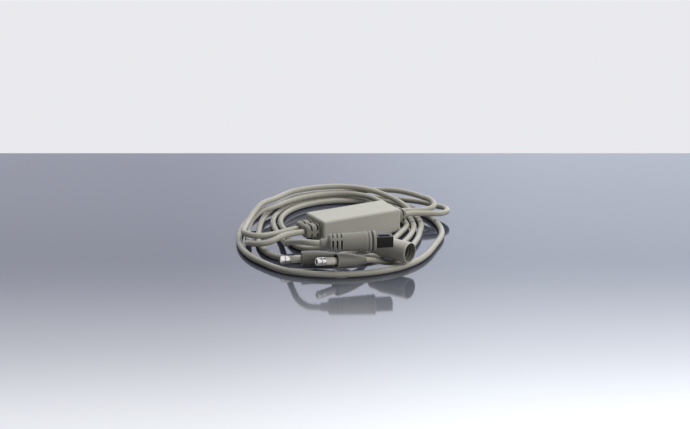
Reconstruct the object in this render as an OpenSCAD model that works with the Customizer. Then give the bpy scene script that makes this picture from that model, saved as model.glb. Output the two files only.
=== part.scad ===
// Cell cord set of a salt chlorine generator, in millimetres, +Z up, floor at Z = 0.
// An inline moulded module with two cords at each end: one to a plug, one to a socket,
// and two single cords to socket terminals with sliding boots.
// +X runs along the module toward the plug and socket cords.

/* [Module] */
// length of the module
module_l = 90; // [82:1:98]
// width of the module
module_w = 38; // [35:0.5:42]
// height of the module
module_h = 25; // [24:0.5:28]
// thickness of the shell walls
wall = 2.4; // [2:0.1:3]
// rounding of the upright corners
corner_r = 3; // [2:0.1:5]
// rounding of the top edges
edge_r = 2.6; // [2:0.1:4]
// height of the parting line between base and cover
parting_z = 4; // [3.5:0.1:4.5]
// size of the chamfer under the base
foot_chamfer = 1; // [0.5:0.1:1.5]

/* [Inside the module] */
// length of the circuit board
board_l = 56; // [50:1:58]
// width of the circuit board
board_w = 20; // [18:0.5:22]
// thickness of the circuit board
board_t = 1.6; // [1:0.1:2]
// height of the board posts above the base floor
post_h = 3; // [2:0.1:3.5]
// radius of the board posts
post_r = 2; // [1.5:0.1:2.5]
// radius of the screw bosses
boss_r = 2.6; // [2.2:0.1:2.8]
// radius of the screw shank
screw_r = 1.1; // [0.8:0.05:1.3]
// length of the screws
screw_l = 12; // [9:0.5:14]
// relay length, width and height
relay_size = [19, 15.5, 10];
// radius of the capacitors
capacitor_r = 4; // [3:0.1:4.2]
// height of the capacitors
capacitor_h = 9; // [6:0.5:10]
// height of the shunt above the board
shunt_h = 5; // [3:0.5:8]

/* [Strain reliefs] */
// distance between the two cords at an end
port_gap = 12; // [11.8:0.1:12.6]
// height of the cords where they leave the module
port_z = 13.6; // [13:0.1:13.8]
// length of the left relief outside the wall
left_relief_l = 15; // [14:0.5:17]
// length of the right relief outside the wall
right_relief_l = 11.5; // [11:0.5:13]
// radius of the two lobes of a relief
lobe_r = 7.3; // [6.8:0.05:7.4]
// radius of the relief neck in the wall
relief_neck_r = 5.6; // [5.2:0.05:5.8]
// thickness of the flange inside the wall
flange_t = 1.6; // [1.2:0.1:2]
// reach of the flange past the neck
flange_lip = 1.3; // [1:0.1:1.5]
// distance from the wall to the first flex slot of the left relief
left_slot_x = 2; // [1.6:0.1:2.4]
// distance from the wall to the flex slot of the right relief
right_slot_x = 6; // [5:0.1:6.4]
// distance between the flex slots of the left relief
relief_slot_pitch = 6.6; // [5.6:0.1:6.8]
// width of a flex slot
slot_w = 1.8; // [1.4:0.1:2]
// distance between the flex slots of the plug
slot_pitch = 4; // [3.5:0.1:4.2]

/* [Cords] */
// diameter of the four cords
cord_d = 5.8; // [5.2:0.1:6]
// depth of a cord in its fitting
cord_seat = 8; // [6:0.5:9]

/* [Plug] */
// length of the plug body
plug_l = 51; // [49:0.5:53]
// largest radius of the tapered body
plug_r = 9.2; // [8.8:0.05:9.3]
// radius of the two rims
rim_r = 9.7; // [9.5:0.05:9.8]
// width of one rim
rim_w = 2.6; // [2:0.1:3]
// width of the seal groove between the rims
seal_w = 1.8; // [1.4:0.1:2]
// insert width across
insert_w = 12.6; // [11:0.1:12.8]
// insert height
insert_h = 10.4; // [9.5:0.1:10.6]
// length of the insert in front of the body
insert_out = 16; // [14:0.5:16.5]
// depth of the insert in the body
insert_in = 12; // [10:0.5:14]
// rotation of the flex slots about the plug axis
slot_roll = 40; // [0:5:90]

/* [Socket] */
// length of the socket hood
hood_l = 54; // [52:0.5:55]
// outer radius of the hood
hood_r = 9.9; // [9.7:0.05:9.9]
// radius of the bore in the hood
hood_bore_r = 8.7; // [8.5:0.05:8.9]
// depth of the bore in the hood
hood_bore_l = 18; // [15:0.5:20]
// radius of the insert at the end of the bore
socket_insert_r = 7.2; // [6.5:0.1:7.5]
// thickness of the insert
socket_insert_t = 8; // [6:0.5:9]

/* [Terminals and boots] */
// distance from the rear of a boot to the tip of its terminal
terminal_reach = 52; // [50:0.5:53]
// radius of a terminal
terminal_r = 3.75; // [3.7:0.05:3.8]
// length of the bare part of a terminal
terminal_l = 9; // [8:0.5:10]
// radius of the socket in a terminal
terminal_bore_r = 2.1; // [1.8:0.05:2.4]
// depth of the socket in a terminal
terminal_bore_l = 7.5; // [6:0.5:8]
// radius of the crimp barrel in the sleeve
barrel_r = 2.6; // [2.4:0.05:2.8]
// outer radius of the sleeve
sleeve_r = 3.65; // [3.6:0.01:3.7]
// length of the sleeve
sleeve_l = 17; // [15:0.5:18]
// length of a boot
boot_l = 32; // [30:0.5:32]
// outer radius of a boot
boot_r = 7; // [6.8:0.05:7.1]
// radius of the hollow of a boot
boot_bore_r = 5.8; // [5.4:0.05:5.9]
// length of the neck lip of a boot
boot_lip_l = 3; // [2.5:0.25:3.5]
// length of the throat that widens from the lip over the sleeve
boot_throat_l = 4; // [3:0.25:4.5]
// length of the cone between throat and hollow
boot_cone_l = 15; // [13:0.5:16]
// length over which the outside of a boot swells from its neck
boot_taper_l = 22; // [18:0.5:24]

/* [Hidden] */
$fn = 48;
bevel = 0.6;
// seating clearance of parts that do not move, and running clearance of the boots
seat = 0.1;
run_gap = 0.3;

cord_r = cord_d / 2;
cord_bore_r = cord_r + seat;
core_wall = 0.8;
core_r = cord_bore_r + core_wall;
rest_z = cord_r + 0.05;

hole_r = relief_neck_r + seat;
flange_r = relief_neck_r + flange_lip;
relief_web = 3.4;
plug_web = 3;

inner_l = module_l - 2 * wall;
inner_w = module_w - 2 * wall;
inner_top = module_h - wall;
gasket_w = 0.9;
gasket_h = 0.8;
base_floor = 2;
board_z = base_floor + post_h;
board_top = board_z + board_t;
boss_x = inner_l / 2 - 7;
boss_y = inner_w / 2 - boss_r + 0.5;
head_r = 2 * screw_r;
head_h = screw_r;
post_x = board_l / 2 - 4;
post_y = board_w / 2 - 3;
wire_zone = 4.5;
relay_x = wire_zone + relay_size[0] / 2 - board_l / 2;
capacitor_x = 6;
capacitor_y = capacitor_r + 0.6;
shunt_setback = 10;
shunt_x = board_l / 2 - shunt_setback;
shunt_w = 12;
shunt_t = 1.2;
wire_r = 1.2;

// poses of the fittings: rear end, where the cord enters, and heading of the front end
plug_at = [-89, -92, 31];
plug_heading = -22;
socket_at = [-32, -73, 17.5];
socket_heading = -67;
terminal_1_at = [-64, -75, 9];
terminal_1_heading = 162;
terminal_2_at = [-45, -98, 9];
terminal_2_heading = 180;
terminal_2_pitch = 8;
sleeve_x = terminal_reach - terminal_l - sleeve_l;

// centre of the coil, and the oval that both coiled cords follow
coil_at = [-18, -2];
coil_mean_r = 113;
coil_shift = 10;
coil_stretch = 13;
coil_axis = 50;
coil_rings = 66;
gap_points = 240;
sides = 8;
ring_pitch = 9;

// coiled cord: first and last angle, reach outside the oval at the start,
// drifts toward the centre and steps down to the floor as [from, to, amount]
plug_turns = [8, 492];
plug_start = 10;
plug_drifts = [
  [0, 42, 9], [198, 219, -3.8], [240, 272, -2.7], [275, 315, 6.5], [325, 375, 8.5], [425, 515, 30]
];
plug_drops = [[0, 50, 6.2]];
socket_turns = [15, 495];
socket_start = 0;
socket_drifts = [
  [10, 45, 4], [65, 150, 14], [190, 236, 20], [240, 290, -8], [355, 415, -15], [420, 520, 34]
];
socket_drops = [[28, 60, 6.3], [80, 125, 7]];

// free stretches, from the strain relief on; the cords rest on the floor at a height of 3
plug_lead_points = [
  [66, -7, 13.5], [75, -10, 13], [84, -13.5, 12.5], [95, -16, 11.5], [104.5, -13, 11], [111, -5, 10.5],
  [113, 5, 10]
];
plug_tail_points = [
  [-70, 31, 3], [-75.5, 13, 4], [-80, 0, 6], [-84, -13, 7.5], [-89, -26, 12], [-95, -40, 18],
  [-99, -56, 24], [-101, -71, 28.5], [-98, -84, 31]
];
socket_lead_points = [
  [64, 5, 13.5], [71, 3, 13], [79, 0.5, 13], [87.5, -1, 13], [95, 0, 13.5], [101, 4.5, 14.5],
  [104, 11, 15.5], [104.5, 20, 16.5]
];
socket_tail_points = [
  [-65, 21, 3], [-70, 4, 3], [-72, -16, 3], [-67, -33, 5], [-56, -44, 9], [-45, -53, 13.5], [-37, -63, 17]
];
terminal_2_points = [
  [-73, 5, 13.5], [-84, 4, 13], [-95, 3.5, 13], [-103, 5.5, 13], [-109, 11.5, 13], [-111.5, 19.5, 13],
  [-109.5, 28, 12.5], [-101, 41, 12.5], [-91, 55, 13], [-78, 70, 15.5], [-62, 84, 19], [-39, 97, 18.5],
  [-8, 114, 18], [25, 115, 17.5], [51, 105, 17], [68, 87, 16], [79, 66, 13], [85, 46, 9], [86, 28, 5],
  [83, 12, 3], [77, -5, 3], [69, -20, 3], [56, -37, 3], [43, -53, 3], [28, -68, 3], [6, -92, 3],
  [-4, -99, 3], [-13, -102.5, 3], [-22, -102, 4], [-30, -100, 5.8], [-37.5, -98.5, 7.6]
];
terminal_1_points = [
  [-72, -6.5, 14], [-83, -9, 14.5], [-94, -13.5, 14], [-101.5, -15, 12.5], [-108.5, -13, 11.5],
  [-113.5, -8, 10.5], [-116, -2, 9.5], [-116, 4, 8], [-114, 10, 6.5], [-110, 16, 5.5], [-105, 26, 4.5],
  [-99, 40, 4], [-88, 61, 4.5], [-76, 75, 8], [-62, 84, 11.5], [-43, 92, 11.5], [-18, 104, 11],
  [12, 111, 10.5], [44, 105, 10.5], [62, 84, 10.5], [68, 58, 9], [69, 39, 5.5], [67, 21, 3], [63.5, 8, 3],
  [60.5, -4, 3], [57, -11, 3], [50, -19, 3], [38, -29, 3], [26, -39, 3], [13, -49, 3], [-3, -57, 3],
  [-17, -64, 4.5], [-28, -69.5, 7], [-36.5, -73, 10], [-45.5, -76, 10.5], [-55, -76, 9.5]
];

shell_color = [0.62, 0.60, 0.56];
rubber_color = [0.56, 0.55, 0.52];
cord_color = [0.70, 0.68, 0.63];
dark_color = [0.10, 0.10, 0.11];
metal_color = [0.80, 0.78, 0.72];
board_color = [0.10, 0.36, 0.20];

// routes of the cords

function heading(a, pitch = 0) = [cos(pitch) * cos(a), cos(pitch) * sin(a), sin(pitch)];

function ease(t) = let(c = min(max(t, 0), 1)) c * c * (3 - 2 * c);

function eased_sum(steps, a) =
  len(steps) == 0 ? 0 : [for (s = steps) s[2] * ease((a - s[0]) / (s[1] - s[0]))] * [for (s = steps) 1];

function height_sum(steps) = [for (s = steps) s[2]] * [for (s = steps) 1];

function coil_oval(a) =
  coil_mean_r + coil_shift * cos(a - coil_axis) + coil_stretch * cos(2 * (a - coil_axis));

function coil_point(a, start, drifts, drops) =
  let(r = coil_oval(a) + start - eased_sum(drifts, a))
  [
    coil_at[0] + r * cos(a),
    coil_at[1] + r * sin(a),
    rest_z + height_sum(drops) - eased_sum(drops, a)
  ];

function coil(turns, start, drifts, drops, count) =
  [for (i = [0:count]) coil_point(turns[0] + (turns[1] - turns[0]) * i / count, start, drifts, drops)];

function unit(v) = v / norm(v);

// direction at point i of a route, weighted toward the nearer neighbour
function lean(p, i, first, last) =
  i == 0 ? first : i == len(p) - 1 ? last :
  let(
    back = p[i] - p[i - 1],
    ahead = p[i + 1] - p[i]
  )
  unit(unit(back) * norm(ahead) + unit(ahead) * norm(back));

function hermite(a, b, ma, mb, t) =
  (2 * t * t * t - 3 * t * t + 1) * a + (t * t * t - 2 * t * t + t) * ma
  + (3 * t * t - 2 * t * t * t) * b + (t * t * t - t * t) * mb;

function lifted(p) = [p[0], p[1], max(p[2], rest_z)];

// smooth curve through the points of a route, never lower than a cord at rest on the floor
function smooth(p, first, last) =
  concat(
    [
      for (i = [0:len(p) - 2])
        let(
          d = norm(p[i + 1] - p[i]),
          count = max(1, ceil(d / ring_pitch)),
          ma = lean(p, i, first, last) * d,
          mb = lean(p, i + 1, first, last) * d
        )
        for (k = [0:count - 1]) lifted(hermite(p[i], p[i + 1], ma, mb, k / count))
    ],
    [p[len(p) - 1]]
  );

// seat of a cord in its strain relief, whose end is at x
function port(x, y_side) = [
  [x - sign(x) * cord_seat, y_side * port_gap / 2, port_z],
  [x, y_side * port_gap / 2, port_z]
];

// directions along a path, which lead, coil and tail share where they meet
function turn_of(p, i) = unit(p[i + 1] - p[i - 1]);

plug_coil_path = coil(plug_turns, plug_start, plug_drifts, plug_drops, coil_rings);
socket_coil_path = coil(socket_turns, socket_start, socket_drifts, socket_drops, coil_rings);

function first_turn(p) = unit(p[1] - p[0]);
function last_turn(p) = unit(p[len(p) - 1] - p[len(p) - 2]);

function lead_path(y_side, points, coil_path) =
  smooth(
    concat(port(module_l / 2 + right_relief_l, y_side), points, [coil_path[0]]),
    [1, 0, 0], first_turn(coil_path)
  );

function tail_path(coil_path, points, at, angle) =
  concat(
    smooth(concat([coil_path[len(coil_path) - 1]], points, [at]), last_turn(coil_path), heading(angle)),
    [at + cord_seat * heading(angle)]
  );

function terminal_path(y_side, points, at, angle, pitch = 0) =
  concat(
    smooth(
      concat(port(-module_l / 2 - left_relief_l, y_side), points, [at]),
      [-1, 0, 0], heading(angle, pitch)
    ),
    [at + sleeve_x * heading(angle, pitch)]
  );

// sweeps a cord along a path, with a flat side down and its end rings square to the given directions
module cord(path, first, last) {
  n = len(path);
  rings = [
    for (i = [0:n - 1])
      let(
        along = i == 0 ? first : i == n - 1 ? last : turn_of(path, i),
        across = unit(cross([0, 0, 1], along)),
        up = cross(along, across)
      )
      for (k = [0:sides - 1])
        let(a = 360 * (k + 0.5) / sides) path[i] + cord_r * (cos(a) * across + sin(a) * up)
  ];
  walls = [
    for (i = [0:n - 2], k = [0:sides - 1])
      let(
        a = i * sides + k,
        b = i * sides + (k + 1) % sides
      )
      each [[a, a + sides, b], [b, a + sides, b + sides]]
  ];
  near = [for (k = [1:sides - 2]) [0, k, k + 1]];
  far = [for (k = [1:sides - 2]) [(n - 1) * sides, (n - 1) * sides + k + 1, (n - 1) * sides + k]];
  polyhedron(points = rings, faces = concat(walls, near, far), convexity = 10);
}

// least gap of a coil to itself, over points more than a quarter turn apart
function self_gap(p) =
  let(quarter = floor(gap_points / 5))
  min([for (i = [0:len(p) - 1]) for (j = [i + quarter:1:len(p) - 1]) norm(p[i] - p[j])]) - cord_d;

echo(plug_cord_gap = self_gap(coil(plug_turns, plug_start, plug_drifts, plug_drops, gap_points)));
echo(socket_cord_gap = self_gap(coil(socket_turns, socket_start, socket_drifts, socket_drops, gap_points)));

// shared shapes

// revolved about X from points [x, radius]
module lathe(points) {
  rotate([0, 90, 0])
    rotate_extrude()
      polygon([for (p = points) [p[1], p[0]]]);
}

module rod(x0, x1, r) {
  translate([x0, 0, 0])
    rotate([0, 90, 0])
      cylinder(h = x1 - x0, r = r);
}

module at_pose(at, angle, pitch = 0) {
  translate(at)
    rotate([0, -pitch, angle])
      children();
}

module rounded_plan(l, w, r) {
  square([l - 2 * r, w], center = true);
  square([l, w - 2 * r], center = true);
  for (x = [-1, 1], y = [-1, 1])
    translate([x * (l / 2 - r), y * (w / 2 - r)])
      circle(r);
}

// outline that is square at the foot and round at the two top corners
module domed_outline(w, h, r) {
  translate([-w / 2, 0])
    square([w, h - r]);
  translate([-w / 2 + r, 0])
    square([w - 2 * r, h]);
  for (x = [-1, 1])
    translate([x * (w / 2 - r), h - r])
      circle(r);
}

module domed_block(l, w, h, plan_r, top_r) {
  intersection() {
    linear_extrude(h)
      rounded_plan(l, w, plan_r);
    translate([0, w / 2, 0])
      rotate([90, 0, 0])
        linear_extrude(w)
          domed_outline(l, h, top_r);
    translate([-l / 2, 0, 0])
      rotate([90, 0, 90])
        linear_extrude(l)
          domed_outline(w, h, top_r);
  }
}

// two round ends joined side by side, along X
module twin_block(x0, x1, r) {
  for (y = [-1, 1])
    translate([0, y * port_gap / 2, 0])
      rod(x0, x1, r);
  translate([x0, -port_gap / 2, -r])
    cube([x1 - x0, port_gap, 2 * r]);
}

// cuts a flex slot above and below, leaving a web on either side
module flex_slot(x, outer_r, inner_r, web) {
  difference() {
    rod(x, x + slot_w, outer_r + 1);
    rod(x - 1, x + slot_w + 1, inner_r);
    translate([x - 1, -outer_r - 2, -web / 2])
      cube([slot_w + 2, 2 * outer_r + 4, web]);
  }
}

// module

module module_cover() {
  color(shell_color)
    difference() {
      union() {
        difference() {
          domed_block(module_l, module_w, module_h, corner_r, edge_r);
          translate([0, 0, -1])
            domed_block(inner_l, inner_w, inner_top + 1, max(corner_r - wall, 0.6), max(edge_r - wall, 0.6));
        }
        for (x = [-1, 1], y = [-1, 1])
          translate([x * boss_x, y * boss_y, parting_z])
            cylinder(h = inner_top - parting_z + 0.5, r = boss_r);
      }
      translate([-module_l, -module_w, -1])
        cube([2 * module_l, 2 * module_w, parting_z + 1]);
      for (x = [-1, 1], y = [-1, 1])
        translate([x * boss_x, y * boss_y, parting_z - 1])
          cylinder(h = screw_l + 1, r = screw_r + 0.02);
      for (x = [-1, 1])
        translate([x * (module_l / 2 - wall / 2), 0, port_z])
          twin_block(-wall, wall, hole_r);
    }
}

module base_rim(inset, w, z0, z1) {
  translate([0, 0, z0])
    linear_extrude(z1 - z0)
      difference() {
        rounded_plan(module_l - 2 * inset, module_w - 2 * inset, corner_r);
        rounded_plan(module_l - 2 * (inset + w), module_w - 2 * (inset + w), max(corner_r - w, 0.5));
      }
}

module module_base() {
  groove_inset = (wall - gasket_w) / 2;
  color(shell_color)
    difference() {
      union() {
        difference() {
          linear_extrude(parting_z)
            rounded_plan(module_l, module_w, corner_r);
          translate([0, 0, base_floor])
            linear_extrude(parting_z)
              rounded_plan(inner_l, inner_w, max(corner_r - wall, 0.5));
        }
        for (x = [-1, 1], y = [-1, 1]) {
          translate([x * boss_x, y * boss_y, base_floor - 0.5])
            cylinder(h = parting_z - base_floor + 0.5, r = boss_r);
          translate([x * post_x, y * post_y, base_floor - 0.5])
            cylinder(h = post_h + 0.5, r = post_r);
        }
      }
      base_rim(groove_inset, gasket_w, parting_z - gasket_h, parting_z + 1);
      for (x = [-1, 1], y = [-1, 1])
        translate([x * boss_x, y * boss_y, 0]) {
          translate([0, 0, -1])
            cylinder(h = parting_z + 2, r = screw_r + seat);
          translate([0, 0, -0.01])
            cylinder(h = head_h + 0.01, r1 = head_r + seat, r2 = screw_r + seat);
        }
      foot_cut();
    }
}

// bevel along the lower edge of the base
module foot_cut() {
  for (s = [-1, 1]) {
    translate([0, s * module_w / 2, 0])
      rotate([45, 0, 0])
        cube([2 * module_l, foot_chamfer * sqrt(2), foot_chamfer * sqrt(2)], center = true);
    translate([s * module_l / 2, 0, 0])
      rotate([0, 45, 0])
        cube([foot_chamfer * sqrt(2), 2 * module_w, foot_chamfer * sqrt(2)], center = true);
  }
}

module module_gasket() {
  color(dark_color)
    base_rim((wall - gasket_w) / 2, gasket_w, parting_z - gasket_h, parting_z);
}

module module_screws() {
  color(metal_color)
    for (x = [-1, 1], y = [-1, 1])
      translate([x * boss_x, y * boss_y, 0])
        difference() {
          union() {
            cylinder(h = head_h, r1 = head_r, r2 = screw_r);
            cylinder(h = screw_l, r = screw_r);
          }
          for (a = [0, 90])
            rotate([0, 0, a])
              translate([-head_r, -0.3, -1])
                cube([2 * head_r, 0.6, 1.6]);
        }
}

module circuit_board() {
  color(board_color)
    translate([0, 0, board_z])
      linear_extrude(board_t)
        rounded_plan(board_l, board_w, 1);
}

module board_relay() {
  color([0.15, 0.25, 0.45])
    translate([relay_x, 0, board_top])
      domed_block(relay_size[0], relay_size[1], relay_size[2], 0.8, 0.8);
}

module board_capacitors() {
  color([0.15, 0.15, 0.20])
    for (y = [-1, 1])
      translate([capacitor_x, y * capacitor_y, board_top]) {
        cylinder(h = capacitor_h - 0.6, r = capacitor_r);
        translate([0, 0, capacitor_h - 0.6])
          cylinder(h = 0.6, r1 = capacitor_r, r2 = capacitor_r - 0.6);
      }
}

module current_shunt() {
  color(metal_color)
    translate([shunt_x, 0, board_top])
      rotate([90, 0, 0])
        translate([0, 0, -shunt_w / 2])
          linear_extrude(shunt_w)
            difference() {
              translate([-3, 0])
                square([6, shunt_h]);
              translate([-3 + shunt_t, -1])
                square([6 - 2 * shunt_t, shunt_h - shunt_t + 1]);
            }
}

// conductors from the strain reliefs down onto the ends of the board
module board_wires() {
  inside_x = inner_l / 2 - flange_t - seat;
  drop_x = board_l / 2 - 1.5;
  color([0.55, 0.12, 0.10])
    for (x = [-1, 1], y = [-1, 1])
      translate([0, y * port_gap / 2, 0]) {
        translate([x < 0 ? -inside_x : drop_x, 0, port_z])
          rod(0, inside_x - drop_x, wire_r);
        translate([x * drop_x, 0, port_z])
          sphere(wire_r);
        translate([x * drop_x, 0, board_top])
          cylinder(h = port_z - board_top, r = wire_r);
      }
}

// strain reliefs: local +X points out of the module, from the outer face of the wall

module strain_relief(l, slot_x, slots) {
  nose_l = 5;
  nose_r = lobe_r - 1.8;
  difference() {
    union() {
      twin_block(-wall - flange_t, -wall - seat, flange_r);
      twin_block(-wall - flange_t, seat + 1, relief_neck_r);
      for (y = [-1, 1])
        translate([0, y * port_gap / 2, 0])
          lathe([
            [seat, 0], [seat, lobe_r - bevel], [seat + bevel, lobe_r], [l - nose_l, lobe_r],
            [l - nose_l / 2, lobe_r - bevel], [l - bevel, nose_r + bevel], [l, nose_r], [l, 0]
          ]);
    }
    for (y = [-1, 1])
      translate([0, y * port_gap / 2, 0]) {
        rod(l - cord_seat, l + 1, cord_bore_r);
        for (i = [0:slots - 1])
          flex_slot(slot_x + i * relief_slot_pitch, lobe_r, core_r, relief_web);
      }
  }
}

module left_strain_relief() {
  color(rubber_color)
    translate([-module_l / 2, 0, port_z])
      rotate([0, 0, 180])
        strain_relief(left_relief_l, left_slot_x, 2);
}

module right_strain_relief() {
  color(rubber_color)
    translate([module_l / 2, 0, port_z])
      strain_relief(right_relief_l, right_slot_x, 1);
}

// cords

plug_lead_path = lead_path(-1, plug_lead_points, plug_coil_path);
plug_tail_path = tail_path(plug_coil_path, plug_tail_points, plug_at, plug_heading);
socket_lead_path = lead_path(1, socket_lead_points, socket_coil_path);
socket_tail_path = tail_path(socket_coil_path, socket_tail_points, socket_at, socket_heading);

module plug_cord_lead() {
  color(cord_color)
    cord(plug_lead_path, [1, 0, 0], first_turn(plug_coil_path));
}

module plug_cord_coil() {
  color(cord_color)
    cord(plug_coil_path, first_turn(plug_coil_path), last_turn(plug_coil_path));
}

module plug_cord_tail() {
  color(cord_color)
    cord(plug_tail_path, last_turn(plug_coil_path), heading(plug_heading));
}

module socket_cord_lead() {
  color(cord_color)
    cord(socket_lead_path, [1, 0, 0], first_turn(socket_coil_path));
}

module socket_cord_coil() {
  color(cord_color)
    cord(socket_coil_path, first_turn(socket_coil_path), last_turn(socket_coil_path));
}

module socket_cord_tail() {
  color(cord_color)
    cord(socket_tail_path, last_turn(socket_coil_path), heading(socket_heading));
}

module terminal_cord_1() {
  color(cord_color)
    cord(
      terminal_path(-1, terminal_1_points, terminal_1_at, terminal_1_heading),
      [-1, 0, 0], heading(terminal_1_heading)
    );
}

module terminal_cord_2() {
  color(cord_color)
    cord(
      terminal_path(1, terminal_2_points, terminal_2_at, terminal_2_heading, terminal_2_pitch),
      [-1, 0, 0], heading(terminal_2_heading, terminal_2_pitch)
    );
}

// plug: local +X from the cord entry to the front

rims_x = plug_l - 2 * rim_w - seal_w;
seal_x = rims_x + rim_w;
seal_floor_r = rim_r - 1.4;
neck_r = cord_bore_r + 1.1;
tail_x = 8;
tail_r = plug_r - 1.1;
tail_l = 14;

module plug_body() {
  color(rubber_color)
    at_pose(plug_at, plug_heading)
      difference() {
        lathe([
          [0, 0], [0, neck_r - 0.3], [1, neck_r], [tail_x - 1.5, neck_r + 0.2], [tail_x, tail_r - 0.6],
          [tail_x + 1, tail_r], [tail_x + tail_l, tail_r + 0.3], [rims_x - 2, plug_r], [rims_x, plug_r - 0.6],
          [rims_x, rim_r - bevel], [rims_x + bevel, rim_r], [seal_x - bevel, rim_r], [seal_x, rim_r - bevel],
          [seal_x, seal_floor_r], [seal_x + seal_w, seal_floor_r], [seal_x + seal_w, rim_r - bevel],
          [seal_x + seal_w + bevel, rim_r], [plug_l - bevel, rim_r], [plug_l, rim_r - bevel], [plug_l, 0]
        ]);
        rod(-1, cord_seat, cord_bore_r);
        rotate([-slot_roll, 0, 0])
          for (i = [0:2])
            flex_slot(tail_x + 2 + i * slot_pitch, tail_r + 1, core_r, plug_web);
        translate([plug_l - insert_in, -insert_w / 2 - seat, -insert_h / 2 - seat])
          cube([insert_in + 1, insert_w + 2 * seat, insert_h + 2 * seat]);
      }
}

module plug_seal() {
  color(dark_color)
    at_pose(plug_at, plug_heading)
      difference() {
        rod(seal_x + 0.1, seal_x + seal_w - 0.1, rim_r - 0.4);
        rod(seal_x, seal_x + seal_w, seal_floor_r + 0.02);
      }
}

contact_pitch = 4;
contact_r = 1.1;
contact_l = 8;

module contact_grid(columns, rows) {
  for (c = [0:columns - 1], r = [0:rows - 1])
    translate([0, (c - (columns - 1) / 2) * contact_pitch, (r - (rows - 1) / 2) * contact_pitch])
      children();
}

// open frame round the contacts at the front of the insert, and the key on top of it
frame_wall = 1;
frame_depth = 2.6;
key_w = 4;
key_h = 0.9;
key_gap = 3;

module plug_insert() {
  front = plug_l + insert_out;
  color(dark_color)
    at_pose(plug_at, plug_heading)
      difference() {
        union() {
          translate([plug_l - insert_in, 0, 0])
            rotate([90, 0, 90])
              linear_extrude(insert_in + insert_out)
                rounded_plan(insert_w, insert_h, 0.8);
          translate([plug_l + key_gap, -key_w / 2, insert_h / 2 - key_h])
            rotate([90, 0, 90])
              linear_extrude(insert_out - 2 * key_gap)
                square([key_w, 2 * key_h]);
        }
        translate([front - frame_depth, 0, 0])
          rotate([90, 0, 90])
            linear_extrude(frame_depth + 1)
              rounded_plan(insert_w - 2 * frame_wall, insert_h - 2 * frame_wall, 0.5);
        contact_grid(3, 2)
          translate([front - contact_l, 0, 0])
            rod(0, contact_l + 1, contact_r + seat);
      }
}

module plug_contacts() {
  front = plug_l + insert_out;
  color(metal_color)
    at_pose(plug_at, plug_heading)
      contact_grid(3, 2)
        difference() {
          rod(front - contact_l, front - 1, contact_r);
          rod(front - contact_l + 2, front, contact_r - 0.4);
        }
}

// socket: local +X from the cord entry to the mouth

hood_tail_x = 11;
hood_tail_r = hood_r - 1.8;
hood_tail_l = 11;
hood_x = hood_tail_x + hood_tail_l;

module socket_hood() {
  color(rubber_color)
    at_pose(socket_at, socket_heading)
      difference() {
        lathe([
          [0, 0], [0, neck_r - 0.3], [1, neck_r], [hood_tail_x - 2, neck_r + 0.2],
          [hood_tail_x, hood_tail_r - bevel], [hood_tail_x + 1, hood_tail_r], [hood_x - 3, hood_tail_r + 0.2],
          [hood_x - 1, hood_r - 0.3], [hood_x, hood_r], [hood_l - bevel, hood_r], [hood_l, hood_r - bevel],
          [hood_l, 0]
        ]);
        rod(-1, cord_seat, cord_bore_r);
        rod(hood_l - hood_bore_l, hood_l + 1, hood_bore_r);
        rod(hood_l - hood_bore_l - socket_insert_t, hood_l, socket_insert_r + seat);
      }
}

module socket_insert() {
  front = hood_l - hood_bore_l;
  color(dark_color)
    at_pose(socket_at, socket_heading)
      difference() {
        rod(front - socket_insert_t, front, socket_insert_r);
        contact_grid(2, 2)
          rod(front - socket_insert_t + 2, front + 1, contact_r + seat);
      }
}

module socket_contacts() {
  front = hood_l - hood_bore_l;
  color(metal_color)
    at_pose(socket_at, socket_heading)
      contact_grid(2, 2)
        difference() {
          rod(front - socket_insert_t + 2, front - 0.5, contact_r);
          rod(front - socket_insert_t + 3.5, front, contact_r - 0.4);
        }
}

// terminals and boots: local +X from the rear of the boot to the tip of the terminal

boot_wall = 1.2;
boot_rings = 8;
throat_play = 0.75;

module boot() {
  lip_r = cord_r + run_gap;
  neck = lip_r + boot_wall;
  throat_x = boot_lip_l + boot_throat_l;
  swell = [
    for (i = [0:boot_rings])
      let (t = i / boot_rings)
        [boot_lip_l + t * boot_taper_l, neck + (boot_r - neck) * (1 - pow(1 - t, 2))]
  ];
  lathe(concat(
    [[0, lip_r], [0, neck - 0.4], [0.5, neck]],
    swell,
    [
      [boot_l - 0.8, boot_r], [boot_l, boot_r - 0.4], [boot_l, boot_bore_r],
      [throat_x + boot_cone_l, boot_bore_r], [throat_x, sleeve_r + throat_play], [boot_lip_l, lip_r]
    ]
  ));
}

module terminal_sleeve() {
  difference() {
    rod(sleeve_x, sleeve_x + sleeve_l, sleeve_r);
    rod(sleeve_x - 1, sleeve_x + sleeve_l + 1, barrel_r + seat);
  }
}

module terminal() {
  bare_x = terminal_reach - terminal_l;
  ring_x = bare_x + terminal_l / 2;
  lathe([
    [sleeve_x, 0], [sleeve_x, barrel_r], [bare_x, barrel_r], [bare_x, terminal_r - 0.3],
    [bare_x + 0.3, terminal_r], [ring_x - 0.6, terminal_r], [ring_x - 0.3, terminal_r - 0.3],
    [ring_x + 0.3, terminal_r - 0.3], [ring_x + 0.6, terminal_r], [terminal_reach - 1.4, terminal_r],
    [terminal_reach - 0.5, terminal_r - 0.4], [terminal_reach, terminal_r - 1.1],
    [terminal_reach, terminal_bore_r], [terminal_reach - terminal_bore_l, terminal_bore_r],
    [terminal_reach - terminal_bore_l - 0.8, 0]
  ]);
}

module boot_1() {
  color(rubber_color)
    at_pose(terminal_1_at, terminal_1_heading)
      boot();
}

module boot_2() {
  color(rubber_color)
    at_pose(terminal_2_at, terminal_2_heading, terminal_2_pitch)
      boot();
}

module terminal_sleeve_1() {
  color(cord_color)
    at_pose(terminal_1_at, terminal_1_heading)
      terminal_sleeve();
}

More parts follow.
